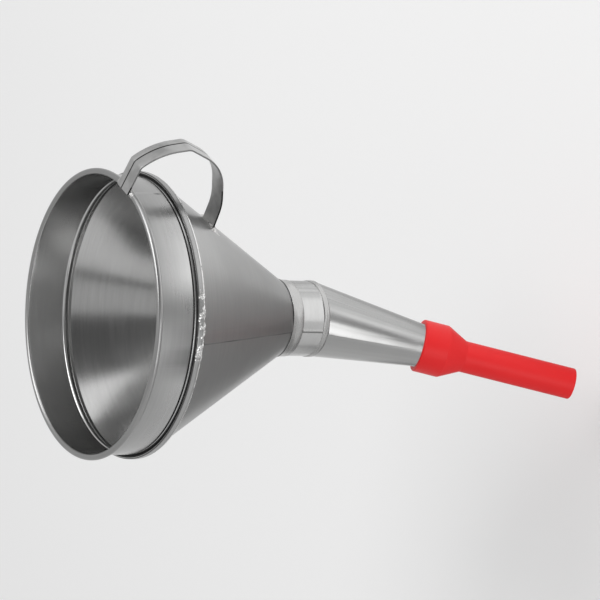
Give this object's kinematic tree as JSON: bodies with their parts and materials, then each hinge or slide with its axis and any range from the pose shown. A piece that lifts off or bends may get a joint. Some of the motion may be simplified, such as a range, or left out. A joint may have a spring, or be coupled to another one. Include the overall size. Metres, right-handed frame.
{
  "type": "funnel",
  "caption": "Tinplate filling funnel: wired rim, collar lock-seamed to a cone, soldered strap handle, neck sleeve and a leaning tapered spout with a push-on plastic tip.",
  "frame": {"origin": "centre of the mouth, in the plane of the rim wire's centreline, which is the upper end of the collar's straight inner wall", "axes": "+Z out of the mouth along the axis of the collar and cone; +Y towards the handle; the spout leans from -Z towards 5 degrees short of +X"},
  "size_m": [0.16, 0.1864, 0.2914],
  "materials": {
    "tinplate_collar": "satin tinplate",
    "tinplate_cone": "satin tinplate",
    "tinplate_neck": "bright tinplate",
    "tinplate_spout": "satin tinplate with lengthways streaks",
    "tinplate_strap": "satin tinplate",
    "rim_wire": "drawn wire",
    "solder": "dull soft solder",
    "red_plastic": "satin moulded polyethylene"
  },
  "bodies": {
    "funnel": {"rim_wire": "rim_wire", "collar": "tinplate_collar", "collar_side_seam": "solder", "cone": "tinplate_cone", "cone_side_seam": "solder", "seam_solder": "solder", "neck_sleeve": "tinplate_neck", "neck_side_seam": "solder", "neck_cone_solder": "solder", "spout": "tinplate_spout", "spout_side_seam": "solder", "spout_neck_solder": "solder", "handle": "tinplate_strap", "handle_rim_solder": "solder", "handle_cone_solder": "solder"},
    "tip": {"pour_tip": "red_plastic"}
  },
  "joints": [
    {"name": "tip_pull", "type": "slide", "parent": "funnel", "child": "tip", "axis": [0.386, -0.0338, -0.9219], "range_m": [0, 0.03]}
  ]
}
